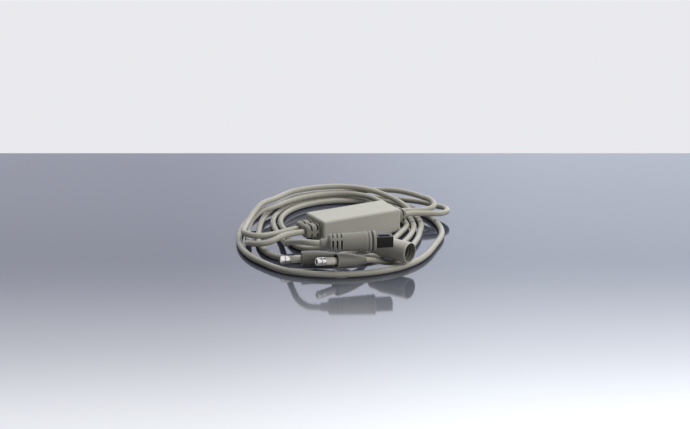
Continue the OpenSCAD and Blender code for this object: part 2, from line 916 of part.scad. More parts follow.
module terminal_sleeve_2() {
  color(cord_color)
    at_pose(terminal_2_at, terminal_2_heading, terminal_2_pitch)
      terminal_sleeve();
}

module terminal_1() {
  color(metal_color)
    at_pose(terminal_1_at, terminal_1_heading)
      terminal();
}

module terminal_2() {
  color(metal_color)
    at_pose(terminal_2_at, terminal_2_heading, terminal_2_pitch)
      terminal();
}

module_cover();
module_base();
module_gasket();
module_screws();
circuit_board();
board_relay();
board_capacitors();
current_shunt();
board_wires();
left_strain_relief();
right_strain_relief();
plug_cord_lead();
plug_cord_coil();
plug_cord_tail();
socket_cord_lead();
socket_cord_coil();
socket_cord_tail();
terminal_cord_1();
terminal_cord_2();
plug_body();
plug_seal();
plug_insert();
plug_contacts();
socket_hood();
socket_insert();
socket_contacts();
boot_1();
boot_2();
terminal_sleeve_1();
terminal_sleeve_2();
terminal_1();
terminal_2();
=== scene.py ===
# %% [markdown]
# # A coiled cord set, from formulas to a finished picture
# The object is a lead for pool equipment. A moulded module has two cords at each end: two long ones lie
# in a coil and end in a plug and a hooded socket, and two short ones end in booted metal terminals.
# Such a thing could be sculpted or drawn by hand. Here every new surface is a grid of points that a
# formula places, so each shape can be read off its formula, and a change is one number.
# Lengths in the formulas are millimetres; meshes are in metres.

# %% Load the frame
import math
from typing import NamedTuple

import bmesh
import bpy
import numpy as np
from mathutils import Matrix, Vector


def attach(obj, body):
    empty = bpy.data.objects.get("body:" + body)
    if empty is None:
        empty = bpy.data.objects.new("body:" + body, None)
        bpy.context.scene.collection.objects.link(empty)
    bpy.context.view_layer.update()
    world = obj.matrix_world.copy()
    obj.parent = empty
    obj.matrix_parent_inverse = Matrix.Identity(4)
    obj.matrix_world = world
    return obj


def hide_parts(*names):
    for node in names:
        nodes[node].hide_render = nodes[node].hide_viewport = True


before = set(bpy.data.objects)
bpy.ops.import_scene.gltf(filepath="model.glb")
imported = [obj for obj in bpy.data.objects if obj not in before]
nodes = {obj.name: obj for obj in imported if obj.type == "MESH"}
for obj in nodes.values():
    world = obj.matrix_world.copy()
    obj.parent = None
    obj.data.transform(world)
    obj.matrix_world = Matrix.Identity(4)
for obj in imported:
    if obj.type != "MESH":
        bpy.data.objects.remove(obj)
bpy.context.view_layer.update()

# %% [markdown]
# ## The camera
# A product photograph is taken from a little above, with a long lens that keeps edges parallel. A camera
# could be placed by eye; this one was fitted to the edges of the module, which is a plain block, and
# so gives both directions and the scale. It looks 30 degrees across the module from 17 degrees above.

# %% Camera
CAMERA_AT = Vector((-0.6352, -1.0832, 0.4045))
CAMERA_AIM = Vector((0.4782, 0.8282, -0.2924))
LENS_MM, SENSOR_MM = 67.83, 36.0
CLIP_NEAR, CLIP_FAR = 0.05, 30.0

scene = bpy.context.scene
camera_data = bpy.data.cameras.new("camera")
camera_data.lens = LENS_MM
camera_data.sensor_width = SENSOR_MM
camera_data.clip_start = CLIP_NEAR
camera_data.clip_end = CLIP_FAR
camera = bpy.data.objects.new("camera", camera_data)
camera.location = CAMERA_AT
camera.rotation_euler = CAMERA_AIM.to_track_quat("-Z", "Y").to_euler()
scene.collection.objects.link(camera)
scene.camera = camera
scene.view_settings.view_transform = "Standard"
print("camera is", round(CAMERA_AT.length, 3), "m from the middle of the module")

# %% [markdown]
# ## From a grid of points to a mesh
# A surface has rows and columns of points, and each small square of the grid becomes a face. Blender
# could make these shapes with its own cylinders and modifiers, but a grid gives full control of every
# ring. `Form` keeps points and faces together with a mask that is 1 on outer edges, where handling
# polishes a moulding pale and a painted highlight lightens it further, and below 0 in hollows, where
# the colour is darkened as painted shade. `make_piece` turns it into an object that rides on a body of
# the frame.

# %% Forms from grids
class Form(NamedTuple):
    """A surface before it is a mesh: points in mm, quads, triangles, and a mask of edges and hollows."""
    points: np.ndarray
    quads: np.ndarray
    tris: np.ndarray
    edge: np.ndarray


def grid_quads(rows, cols, wrap_rows=False):
    """Joins point (i, j), number i * cols + j, to the next row and column; columns close on themselves."""
    i, j = np.meshgrid(np.arange(rows if wrap_rows else rows - 1), np.arange(cols), indexing="ij")
    below, right = (i + 1) % rows, (j + 1) % cols
    corners = [i * cols + j, i * cols + right, below * cols + right, below * cols + j]
    return np.stack(corners, axis=2).reshape(-1, 4)


def close_ends(points, cols, edge):
    """A stack of rings with a pole at the mean of either end ring and a fan of triangles to each pole."""
    rows = len(points) // cols
    poles = np.array([points[:cols].mean(axis=0), points[-cols:].mean(axis=0)])
    j, top = np.arange(cols), (rows - 1) * cols
    ahead = (j + 1) % cols
    first = np.stack([np.full(cols, rows * cols), ahead, j], axis=1)
    last = np.stack([np.full(cols, rows * cols + 1), top + j, top + ahead], axis=1)
    return Form(np.concatenate([points, poles]), grid_quads(rows, cols), np.concatenate([first, last]),
                np.concatenate([edge, [0.0, 0.0]]))


print("3 rings of 8 points are joined by", len(grid_quads(3, 8)), "quads")

# %% Pieces from forms
MM = 0.001


def add_attribute(piece, name, kind, field, values):
    """Stores one value per point, which a material can read by name."""
    layer = piece.data.attributes.new(name, kind, "POINT")
    layer.data.foreach_set(field, np.asarray(values, np.float32).ravel())


def make_piece(name, form, body, replaced, sharp=None):
    """One mesh object riding on a body and standing for CAD nodes; edges above the angle stay crisp."""
    mesh = bpy.data.meshes.new(name)
    mesh.from_pydata((form.points * MM).tolist(), [], form.quads.tolist() + form.tris.tolist())
    solid = bmesh.new()
    solid.from_mesh(mesh)
    bmesh.ops.recalc_face_normals(solid, faces=solid.faces)
    solid.to_mesh(mesh)
    solid.free()
    mesh.polygons.foreach_set("use_smooth", np.ones(len(mesh.polygons), bool))
    if sharp is not None:
        mesh.set_sharp_from_angle(angle=math.radians(sharp))
    mesh.update()
    piece = bpy.data.objects.new(name, mesh)
    scene.collection.objects.link(piece)
    add_attribute(piece, "edge", "FLOAT", "value", form.edge)
    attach(piece, body)
    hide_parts(*replaced)
    print(name, len(mesh.vertices), "points", len(mesh.polygons), "faces")
    return piece


print("a form's points are scaled by", MM, "in its mesh")

# %% [markdown]
# ## The routes of the cords
# A cord lies where its stiffness and its weight put it: smooth bends, no kinks, and resting on the floor
# or on another strand. A curve drawn by hand would do, but its length and its bends would be unknown.
# A free stretch is therefore a chain of cubic curves through listed points, whose direction at a point
# leans toward the nearer neighbour. The coil is an oval whose radius at the angle *a* is
# `113 + 10 cos(a - 50) + 13 cos 2(a - 50)`, less smooth drifts toward the centre.

# %% The oval of the coil
CORD_D, FLOOR_GAP = 5.8, 0.05
CORD_R = CORD_D / 2
REST_Z = CORD_R + FLOOR_GAP
COIL_X, COIL_Y, COIL_TURN = -18, -2, 50
OVAL_R, OVAL_SHIFT, OVAL_STRETCH = 113, 10, 13


def ease(t):
    """Smooth step from 0 to 1: 3t^2 - 2t^3, held outside that range."""
    t = np.clip(t, 0.0, 1.0)
    return t * t * (3 - 2 * t)


def eased(a, spans):
    """Sum over spans (from, to, amount): the amount times a smooth step of the angle between the two."""
    start, end, amount = np.array(spans, float).T[:, :, None]
    return (amount * ease((a - start) / (end - start))).sum(axis=0)


def coil_route(first, last, start, drifts, drops, count):
    """Points of a coiled cord: the oval plus its start, less each eased drift; it falls by each drop."""
    a = np.linspace(first, last, count)
    turn = np.radians(a - COIL_TURN)
    oval = OVAL_R + OVAL_SHIFT * np.cos(turn) + OVAL_STRETCH * np.cos(2 * turn)
    r = oval + start - eased(a, drifts)
    z = REST_Z + sum(amount for _, _, amount in drops) - eased(a, drops)
    return np.stack([COIL_X + r * np.cos(np.radians(a)), COIL_Y + r * np.sin(np.radians(a)), z], axis=1)


print("cord of", CORD_D, "mm rests with its middle at", REST_Z, "mm")

# %% Free stretches
def lengths_of(v):
    """The length of each vector: the root of the sum of its squares."""
    return np.linalg.norm(v, axis=-1, keepdims=True)


def smooth_route(points, first, last, step=2.0):
    """Cubic pieces through the points; a point's direction is weighted toward its nearer neighbour."""
    p = np.asarray(points, float)
    way = np.diff(p, axis=0)
    gap = lengths_of(way)
    way = way / gap
    inner = way[:-1] * gap[1:] + way[1:] * gap[:-1]
    lean = np.concatenate([[first], inner, [last]])
    lean = lean / lengths_of(lean)
    count = np.maximum(1, np.ceil(gap[:, 0] / step)).astype(int)
    i = np.repeat(np.arange(len(gap)), count)
    t = ((np.arange(len(i)) - (np.cumsum(count) - count)[i]) / count[i])[:, None]
    route = ((2 * t**3 - 3 * t**2 + 1) * p[i] + (t**3 - 2 * t**2 + t) * gap[i] * lean[i]
             + (3 * t**2 - 2 * t**3) * p[i + 1] + (t**3 - t**2) * gap[i] * lean[i + 1])
    route = np.concatenate([route, p[-1:]])
    route[:, 2] = np.maximum(route[:, 2], REST_Z)
    return route


def heading(degrees, pitch=0):
    """The direction of a fitting: turned about the upright by its heading, raised by its pitch."""
    turn, lift = math.radians(degrees), math.radians(pitch)
    return np.array([math.cos(lift) * math.cos(turn), math.cos(lift) * math.sin(turn), math.sin(lift)])


print("a heading of 90 degrees points along", np.round(heading(90), 2))

# %% Listed points of the routes
# The pose of a fitting is its place, its heading and its pitch.
PLUG_POSE = np.array([-89.0, -92.0, 31.0]), -22
SOCKET_POSE = np.array([-32.0, -73.0, 17.5]), -67
TERMINAL_1_POSE = np.array([-64.0, -75.0, 9.0]), 162, 0
TERMINAL_2_POSE = np.array([-45.0, -98.0, 9.0]), 180, 8
PORT_Y, PORT_Z = 6.0, 13.6
LEFT_END, RIGHT_END = -60.0, 56.5

plug_lead = [(66, -7, 13.5), (75, -10, 13), (84, -13.5, 12.5), (95, -16, 11.5), (104.5, -13, 11),
             (111, -5, 10.5), (113, 5, 10)]
plug_tail = [(-70, 31, 3), (-75.5, 13, 4), (-80, 0, 6), (-84, -13, 7.5), (-89, -26, 12),
             (-95, -40, 18), (-99, -56, 24), (-101, -71, 28.5), (-98, -84, 31)]
socket_lead = [(64, 5, 13.5), (71, 3, 13), (79, 0.5, 13), (87.5, -1, 13), (95, 0, 13.5),
               (101, 4.5, 14.5), (104, 11, 15.5), (104.5, 20, 16.5)]
socket_tail = [(-65, 21, 3), (-70, 4, 3), (-72, -16, 3), (-67, -33, 5), (-56, -44, 9),
               (-45, -53, 13.5), (-37, -63, 17)]
terminal_2_points = [
    (-73, 5, 13.5), (-84, 4, 13), (-95, 3.5, 13), (-103, 5.5, 13), (-109, 11.5, 13), (-111.5, 19.5, 13),
    (-109.5, 28, 12.5), (-101, 41, 12.5), (-91, 55, 13), (-78, 70, 15.5), (-62, 84, 19), (-39, 97, 18.5),
    (-8, 114, 18), (25, 115, 17.5), (51, 105, 17), (68, 87, 16), (79, 66, 13), (85, 46, 9), (86, 28, 5),
    (83, 12, 3), (77, -5, 3), (69, -20, 3), (56, -37, 3), (43, -53, 3), (28, -68, 3), (6, -92, 3),
    (-4, -99, 3), (-13, -102.5, 3), (-22, -102, 4), (-30, -100, 5.8), (-37.5, -98.5, 7.6)]
terminal_1_points = [
    (-72, -6.5, 14), (-83, -9, 14.5), (-94, -13.5, 14), (-101.5, -15, 12.5), (-108.5, -13, 11.5),
    (-113.5, -8, 10.5), (-116, -2, 9.5), (-116, 4, 8), (-114, 10, 6.5), (-110, 16, 5.5), (-105, 26, 4.5),
    (-99, 40, 4), (-88, 61, 4.5), (-76, 75, 8), (-62, 84, 11.5), (-43, 92, 11.5), (-18, 104, 11),
    (12, 111, 10.5), (44, 105, 10.5), (62, 84, 10.5), (68, 58, 9), (69, 39, 5.5), (67, 21, 3), (63.5, 8, 3),
    (60.5, -4, 3), (57, -11, 3), (50, -19, 3), (38, -29, 3), (26, -39, 3), (13, -49, 3), (-3, -57, 3),
    (-17, -64, 4.5), (-28, -69.5, 7), (-36.5, -73, 10), (-45.5, -76, 10.5), (-55, -76, 9.5)]
print("short cords pass through", len(terminal_1_points), "and", len(terminal_2_points), "chosen points")

# %% Whole routes, from the strain relief to the fitting
INSIDE = 6.0
STRAIGHT_END = np.array([[6.0], [12.0], [18.0], [25.9]])
plug_coil = coil_route(
    first=8, last=492, start=10, count=500, drops=[(0, 50, 6.2)],
    drifts=[(0, 42, 9), (198, 219, -3.8), (240, 272, -2.7), (275, 315, 6.5), (325, 375, 8.5),
            (425, 515, 30)])
socket_coil = coil_route(
    first=15, last=495, start=0, count=420, drops=[(28, 60, 6.3), (80, 125, 7)],
    drifts=[(10, 45, 4), (65, 150, 14), (190, 236, 20), (240, 290, -8), (355, 415, -15),
            (420, 520, 34)])


def long_route(y, lead, coil, tail, at, angle):
    """Strain relief, lead, coil and tail in one line of points."""
    start = smooth_route([(RIGHT_END - INSIDE, y, PORT_Z), (RIGHT_END, y, PORT_Z), *lead, coil[0]],
                         (1, 0, 0), coil[1] - coil[0])
    end = smooth_route([coil[-1], *tail, at], coil[-1] - coil[-2], heading(angle))
    return np.concatenate([start[:-1], coil, end[1:], [at + INSIDE * heading(angle)]])


def short_route(y, points, at, angle, pitch):
    """Strain relief, free stretch and the straight end inside the boot."""
    start = smooth_route([(LEFT_END + INSIDE, y, PORT_Z), (LEFT_END, y, PORT_Z), *points, at],
                         (-1, 0, 0), heading(angle, pitch))
    return np.concatenate([start, at + STRAIGHT_END * heading(angle, pitch)])


routes = {
    "plug_cord": long_route(-PORT_Y, plug_lead, plug_coil, plug_tail, *PLUG_POSE),
    "socket_cord": long_route(PORT_Y, socket_lead, socket_coil, socket_tail, *SOCKET_POSE),
    "terminal_lead_1": short_route(-PORT_Y, terminal_1_points, *TERMINAL_1_POSE),
    "terminal_lead_2": short_route(PORT_Y, terminal_2_points, *TERMINAL_2_POSE),
}

# %% [markdown]
# ## The cords as swept tubes
# A jacketed cord is a round tube of one thickness. Blender's curve with a bevel would give one too, but
# its rings may twist, and a pattern on it would then wind round. Here a ring of the cord's radius stands
# square to the direction of travel at each point, and its zero mark stays level, so nothing twists.
# Each point also stores how far along and how far round it lies, for the marks of the jacket.

# %% Cord tubes
CORD_SIDES = 24
STREAK_L = 40.0
CORD_NODES = {
    "plug_cord": ["plug_cord_lead", "plug_cord_coil", "plug_cord_tail"],
    "socket_cord": ["socket_cord_lead", "socket_cord_coil", "socket_cord_tail"],
    "terminal_lead_1": ["terminal_cord_1"],
    "terminal_lead_2": ["terminal_cord_2"],
}


def tube(name, route, radius, replaced):
    """Rings at right angles to the route: point + r (cos u across + sin u up), with closing fans."""
    along = np.gradient(route, axis=0)
    along = along / lengths_of(along)
    across = np.cross([0.0, 0.0, 1.0], along)
    across = across / lengths_of(across)
    up = np.cross(along, across)
    u = np.linspace(0, 2 * math.pi, CORD_SIDES, endpoint=False)[None, :, None]
    rings = route[:, None] + radius * (np.cos(u) * across[:, None] + np.sin(u) * up[:, None])
    form = close_ends(rings.reshape(-1, 3), CORD_SIDES, np.zeros(rings.shape[0] * CORD_SIDES))
    piece = make_piece(name, form, "cord_set", replaced)
    travel = np.concatenate([[0], np.cumsum(lengths_of(np.diff(route, axis=0)))]) / STREAK_L
    wrap = np.stack(np.broadcast_arrays(travel[:, None], np.cos(u[..., 0]), np.sin(u[..., 0])), axis=2)
    ends = [[travel[0], 0, 0], [travel[-1], 0, 0]]
    add_attribute(piece, "wrap", "FLOAT_VECTOR", "vector", np.concatenate([wrap.reshape(-1, 3), ends]))
    return piece


cords = {name: tube(name, route, CORD_R, CORD_NODES[name]) for name, route in routes.items()}

# %% [markdown]
# ## The table and the sheet behind it
# The object lies on a smooth grey table that pales toward the camera and mirrors what stands behind it.
# A photograph on a plane could fake that, but a real mirror keeps working from every side: the table is
# one glossy quad, and it mirrors a tall sheet, of which the camera itself sees only the white foot.

# %% Stage
NEAR, FAR, HALF = 0.5, 1.588, 2.2
SHEET_AT, SHEET_HALF, SHEET_FOOT, SHEET_TOP = 2.6, 1.1, -0.6, 1.3
TABLE_Z = -0.0003
look = Vector((CAMERA_AIM.x, CAMERA_AIM.y, 0)).normalized()
side = Vector((look.y, -look.x, 0))
ground = Vector((CAMERA_AT.x, CAMERA_AT.y, TABLE_Z))


def flat_sheet(name, corners):
    """One quad of the stage, its corners given as (ahead of the camera, to its right, above the table)."""
    places = [ground + look * ahead + side * right + Vector((0, 0, up)) for ahead, right, up in corners]
    mesh = bpy.data.meshes.new(name)
    mesh.from_pydata([tuple(p) for p in places], [], [(0, 1, 2, 3)])
    sheet = bpy.data.objects.new(name, mesh)
    scene.collection.objects.link(sheet)
    return sheet


table = flat_sheet("table", [(NEAR, -HALF, 0), (NEAR, HALF, 0), (FAR, HALF, 0), (FAR, -HALF, 0)])
backdrop = flat_sheet("backdrop", [
    (SHEET_AT, -SHEET_HALF, SHEET_FOOT), (SHEET_AT, SHEET_HALF, SHEET_FOOT),
    (SHEET_AT, SHEET_HALF, SHEET_TOP), (SHEET_AT, -SHEET_HALF, SHEET_TOP)])
print("table", round(FAR - NEAR, 3), "m deep, sheet", round(SHEET_TOP - SHEET_FOOT, 3), "m tall")

# %% [markdown]
# ## Light
# Small objects are lit with large soft boxes, so that their shadows have no hard edge. A single sun lamp
# would be simpler, but hard. One square light hangs above, to the right, and leaves the left end of the
# module in half shade; a weaker one fills from the front right. The world adds a little light from all
# round, and shows white to the camera and in mirrors and glass, so that metal has something to mirror.

# %% Lamps
OVERHEAD_AT, OVERHEAD_SIZE, OVERHEAD_POWER = (0.45, 0.25, 1.25), 0.9, 15.5
FILL_AT, FILL_SIZE, FILL_POWER = (0.6, -1.25, 0.7), 0.7, 13.0


def area_light(name, place, size, power):
    """A square soft light that points at the foot of the module, which is the origin."""
    data = bpy.data.lights.new(name, "AREA")
    data.shape = "SQUARE"
    data.size = size
    data.energy = power
    lamp = bpy.data.objects.new(name, data)
    lamp.location = place
    lamp.rotation_euler = (-Vector(place)).to_track_quat("-Z", "Y").to_euler()
    lamp.visible_glossy = False
    scene.collection.objects.link(lamp)
    print(name, "light", power, "W,", size, "m wide")


area_light("overhead", OVERHEAD_AT, OVERHEAD_SIZE, OVERHEAD_POWER)
area_light("fill", FILL_AT, FILL_SIZE, FILL_POWER)

# %% World
SEEN_COLOUR = (0.86, 0.86, 0.88, 1)
FELT_COLOUR, FELT_STRENGTH = (0.9, 0.94, 1.0, 1), 0.13

world = bpy.data.worlds.new("studio")
scene.world = world
world.use_nodes = True
wn, wl = world.node_tree.nodes, world.node_tree.links
wn.clear()
world_out = wn.new("ShaderNodeOutputWorld")
seen, felt = wn.new("ShaderNodeBackground"), wn.new("ShaderNodeBackground")
seen.inputs["Color"].default_value = SEEN_COLOUR
felt.inputs["Color"].default_value = FELT_COLOUR
felt.inputs["Strength"].default_value = FELT_STRENGTH
path = wn.new("ShaderNodeLightPath")
shiny, direct = wn.new("ShaderNodeMath"), wn.new("ShaderNodeMath")
shiny.operation = direct.operation = "MAXIMUM"
wl.new(path.outputs["Is Glossy Ray"], shiny.inputs[0])
wl.new(path.outputs["Is Transmission Ray"], shiny.inputs[1])
wl.new(path.outputs["Is Camera Ray"], direct.inputs[0])
wl.new(shiny.outputs["Value"], direct.inputs[1])
world_mix = wn.new("ShaderNodeMixShader")
wl.new(direct.outputs["Value"], world_mix.inputs["Fac"])
wl.new(felt.outputs["Background"], world_mix.inputs[1])
wl.new(seen.outputs["Background"], world_mix.inputs[2])
wl.new(world_mix.outputs["Shader"], world_out.inputs["Surface"])
print("world felt at", FELT_STRENGTH, "of white")

# %% [markdown]
# ## Shared effects
# Moulded plastic has three marks of how it was made and used: the fine matt grain that a spark-eroded
# mould leaves, soft patches where it is a little paler, and edges that handling has polished. Those pale
# edges also stand in for a painted highlight, and the same mask paints shade into hollows. Painted
# pictures could show them, but they would need unwrapping. These are node groups of noise in the
# object's own space, built once and placed in each material with its own values. `jacket` stretches its
# noise along the cord, as the die does that the jacket is pressed through.

# %% Helpers for node groups
def new_group(name, inputs, outputs):
    """An empty shader node group with float inputs (name, default) and float outputs."""
    group = bpy.data.node_groups.new(name, "ShaderNodeTree")
    for label, value in inputs:
        socket = group.interface.new_socket(name=label, in_out="INPUT", socket_type="NodeSocketFloat")
        socket.default_value = value
    for label in outputs:
        group.interface.new_socket(name=label, in_out="OUTPUT", socket_type="NodeSocketFloat")
    print("group", name, "puts out", ", ".join(outputs))
    return group, group.nodes.new("NodeGroupInput"), group.nodes.new("NodeGroupOutput")


def own_space(tree):
    """The place of a point in its object's own space."""
    return tree.nodes.new("ShaderNodeTexCoord").outputs["Object"]


def add_noise(tree, coords, scale_from, detail):
    """A noise texture on the coordinates, with its scale from a socket."""
    noise = tree.nodes.new("ShaderNodeTexNoise")
    noise.inputs["Detail"].default_value = detail
    tree.links.new(coords, noise.inputs["Vector"])
    tree.links.new(scale_from, noise.inputs["Scale"])
    return noise.outputs["Fac"]


def add_range(tree, value, low, high, to_min=None, to_max=None):
    """Maps a value from low..high to 0..1, or to the two sockets."""
    span = tree.nodes.new("ShaderNodeMapRange")
    span.inputs["From Min"].default_value = low
    span.inputs["From Max"].default_value = high
    tree.links.new(value, span.inputs["Value"])
    for label, socket in (("To Min", to_min), ("To Max", to_max)):
        if socket is not None:
            tree.links.new(socket, span.inputs[label])
    return span.outputs["Result"]


# %% Grain
GRAIN_DETAIL = 3.0
grain, g_in, g_out = new_group("grain", [("Scale", 1400.0), ("Low", 0.45), ("High", 0.6)],
                               ["Height", "Roughness"])
g_fac = add_noise(grain, own_space(grain), g_in.outputs["Scale"], GRAIN_DETAIL)
grain.links.new(g_fac, g_out.inputs["Height"])
g_rough = add_range(grain, g_fac, 0.0, 1.0, g_in.outputs["Low"], g_in.outputs["High"])
grain.links.new(g_rough, g_out.inputs["Roughness"])

# %% Patches, pale edges and painted shade
WEAR_AND_HIGHLIGHT_DETAIL, PATCH_SPAN, EDGE_WEAR_AND_HIGHLIGHT_SPAN = 5.0, (0.35, 0.7), (0.2, 0.55)


def add_product(tree, a, b):
    """The product of two sockets."""
    node = tree.nodes.new("ShaderNodeMath")
    node.operation = "MULTIPLY"
    tree.links.new(a, node.inputs[0])
    tree.links.new(b, node.inputs[1])
    return node.outputs["Value"]


wear_and_painted_light, w_in, w_out = new_group("wear_and_painted_light", [("Scale", 45.0), ("Amount", 0.5), ("Rub", 0.6)],
                              ["Patch", "Edge", "PaintedShade"])
w_fac = add_noise(wear_and_painted_light, own_space(wear_and_painted_light), w_in.outputs["Scale"], WEAR_AND_HIGHLIGHT_DETAIL)
w_patch = add_range(wear_and_painted_light, w_fac, *PATCH_SPAN, None, w_in.outputs["Amount"])
wear_and_painted_light.links.new(w_patch, w_out.inputs["Patch"])
w_edge = wear_and_painted_light.nodes.new("ShaderNodeAttribute")
w_edge.attribute_name = "edge"
w_edge_wear_and_highlight = add_range(wear_and_painted_light, w_fac, *EDGE_WEAR_AND_HIGHLIGHT_SPAN, None, w_in.outputs["Rub"])
# Edge: the mask on outer edges, paled both by handling and as a painted highlight.
wear_and_painted_light.links.new(add_product(wear_and_painted_light, w_edge.outputs["Fac"], w_edge_wear_and_highlight), w_out.inputs["Edge"])
# Painted shade: the part of the mask below 0, in hollows, slots and bores.
wear_and_painted_light.links.new(add_range(wear_and_painted_light, w_edge.outputs["Fac"], 0.0, -1.0), w_out.inputs["PaintedShade"])

# %% Jacket
JACKET_DETAIL, STREAK_SPAN = 2.0, (0.3, 0.7)
jacket, j_in, j_out = new_group("jacket", [("Scale", 6.0)], ["Height", "Tone"])
j_wrap = jacket.nodes.new("ShaderNodeAttribute")
j_wrap.attribute_name = "wrap"
j_fac = add_noise(jacket, j_wrap.outputs["Vector"], j_in.outputs["Scale"], JACKET_DETAIL)
jacket.links.new(j_fac, j_out.inputs["Height"])
jacket.links.new(add_range(jacket, j_fac, *STREAK_SPAN), j_out.inputs["Tone"])

# %% [markdown]
# ## Materials
# The whole set is one family of warm greys: the cords and the module palest, the moulded fittings a shade
# darker, the boots darkest. One flat grey each would look like clay. `surface` therefore mixes two tones
# by the patches, a pale third one on edges, which is handling and a painted highlight both, and a darker
# copy of the tone in hollows, which is painted shade, and takes roughness and bump from the grain. The
# last argument is how fine the patches are, how strong they are, and how far the edges are paled.

# %% Helpers for materials
def add_mix(tree, factor, a, b):
    """A mix of two colours, each a constant or a socket."""
    mix = tree.nodes.new("ShaderNodeMix")
    mix.data_type = "RGBA"
    tree.links.new(factor, mix.inputs["Factor"])
    for label, colour in (("A", a), ("B", b)):
        if isinstance(colour, tuple):
            mix.inputs[label].default_value = (*colour, 1)
        else:
            tree.links.new(colour, mix.inputs[label])
    return mix.outputs["Result"]


def place_group(tree, group, **values):
    """A node group in a material, with its own values."""
    node = tree.nodes.new("ShaderNodeGroup")
    node.node_tree = group
    for label, value in values.items():
        node.inputs[label].default_value = value
    return node.outputs


def paint(piece, mat):
    """Gives a piece its one material."""
    piece.data.materials.clear()
    piece.data.materials.append(mat)
    return piece


print("materials so far", len(bpy.data.materials))

# %% Surface recipe
BUMP_DEPTH, PAINTED_HOLLOW_SHADE, STREAK_SCALE = 0.0002, 0.3, 6.0


def surface(name, tone, patch, edge_wear_and_highlight, rough, grain_scale, bump, wear_and_highlight_by, metallic=0.0, gloss=0.5,
            streaks=False):
    """Principled material: patches of two tones, painted shade in hollows, a pale edge tone that is also a
    painted highlight; grain for the rest.
    """
    mat = bpy.data.materials.new(name)
    mat.use_nodes = True
    tree = mat.node_tree
    shader = tree.nodes["Principled BSDF"]
    fine = place_group(tree, grain, Scale=grain_scale, Low=rough[0], High=rough[1])
    patch_scale, patches, edge_wear_and_highlight_amount = wear_and_highlight_by
    wear_and_light_out = place_group(tree, wear_and_painted_light, Scale=patch_scale, Amount=patches, Rub=edge_wear_and_highlight_amount)
    colour, height = add_mix(tree, wear_and_light_out["Patch"], tone, patch), fine["Height"]
    if streaks:
        drawn = place_group(tree, jacket, Scale=STREAK_SCALE)
        colour = add_mix(tree, drawn["Tone"], colour, patch)
        height = add_product(tree, height, drawn["Height"])
    # Painted shade: hollows take a darker copy of the tone.
    colour = add_mix(tree, wear_and_light_out["PaintedShade"], colour, tuple(PAINTED_HOLLOW_SHADE * c for c in tone))
    # Outer edges take the pale third tone, for handling and as a painted highlight.
    tree.links.new(add_mix(tree, wear_and_light_out["Edge"], colour, edge_wear_and_highlight), shader.inputs["Base Color"])
    tree.links.new(fine["Roughness"], shader.inputs["Roughness"])
    relief_node = tree.nodes.new("ShaderNodeBump")
    relief_node.inputs["Strength"].default_value = bump
    relief_node.inputs["Distance"].default_value = BUMP_DEPTH
    tree.links.new(height, relief_node.inputs["Height"])
    tree.links.new(relief_node.outputs["Normal"], shader.inputs["Normal"])
    shader.inputs["Metallic"].default_value = metallic
    shader.inputs["Specular IOR Level"].default_value = gloss
    return mat


print("bump stands at most", BUMP_DEPTH / MM, "mm high")

# %% Materials of the outside
# The third colour of each is its pale edge tone, for handling and as a painted highlight.
shell_mat = surface("shell_matt", (0.44, 0.425, 0.37), (0.49, 0.472, 0.415), (0.6, 0.58, 0.51),
                    rough=(0.5, 0.62), grain_scale=1600, bump=0.25, wear_and_highlight_by=(45, 0.5, 0.6))
moulded_mat = surface("moulded_soft", (0.235, 0.225, 0.193), (0.27, 0.258, 0.222), (0.5, 0.48, 0.415),
                      rough=(0.42, 0.52), grain_scale=1200, bump=0.2, wear_and_highlight_by=(60, 0.5, 0.6))
cord_mat = surface("cord_jacket", (0.36, 0.345, 0.288), (0.42, 0.402, 0.342), (0.5, 0.48, 0.42),
                   rough=(0.26, 0.38), grain_scale=700, bump=0.12, wear_and_highlight_by=(30, 0.5, 0), streaks=True)
seal_mat = surface("seal_rubber", (0.12, 0.115, 0.103), (0.16, 0.153, 0.135), (0.2, 0.19, 0.17),
                   rough=(0.5, 0.65), grain_scale=900, bump=0.2, wear_and_highlight_by=(90, 0.4, 0.4))
boot_mat = surface("boot_rubber", (0.195, 0.186, 0.161), (0.23, 0.22, 0.191), (0.5, 0.48, 0.425),
                   rough=(0.36, 0.48), grain_scale=1000, bump=0.15, wear_and_highlight_by=(70, 0.5, 0.6))
hood_mat = surface("hood_rubber", (0.43, 0.412, 0.357), (0.48, 0.46, 0.4), (0.55, 0.53, 0.465),
                   rough=(0.36, 0.48), grain_scale=1000, bump=0.15, wear_and_highlight_by=(55, 0.5, 0.6))
sleeve_mat = surface("sleeve_shrink", (0.59, 0.562, 0.484), (0.65, 0.62, 0.538), (0.75, 0.72, 0.63),
                     rough=(0.35, 0.45), grain_scale=800, bump=0.15, wear_and_highlight_by=(90, 0.45, 0.5))
insert_mat = surface("insert_gloss", (0.014, 0.0122, 0.0105), (0.02, 0.0175, 0.015), (0.05, 0.047, 0.043),
                     rough=(0.24, 0.34), grain_scale=900, bump=0.05, wear_and_highlight_by=(80, 0.4, 0.6), gloss=0.25)
terminal_mat = surface("terminal_tin", (0.9, 0.88, 0.84), (0.8, 0.78, 0.74), (0.95, 0.93, 0.9),
                       rough=(0.14, 0.22), grain_scale=500, bump=0.05, wear_and_highlight_by=(120, 0.55, 0.5),
                       metallic=1.0)
for cord_piece in cords.values():
    paint(cord_piece, cord_mat)
print("materials with those of the outside", len(bpy.data.materials))

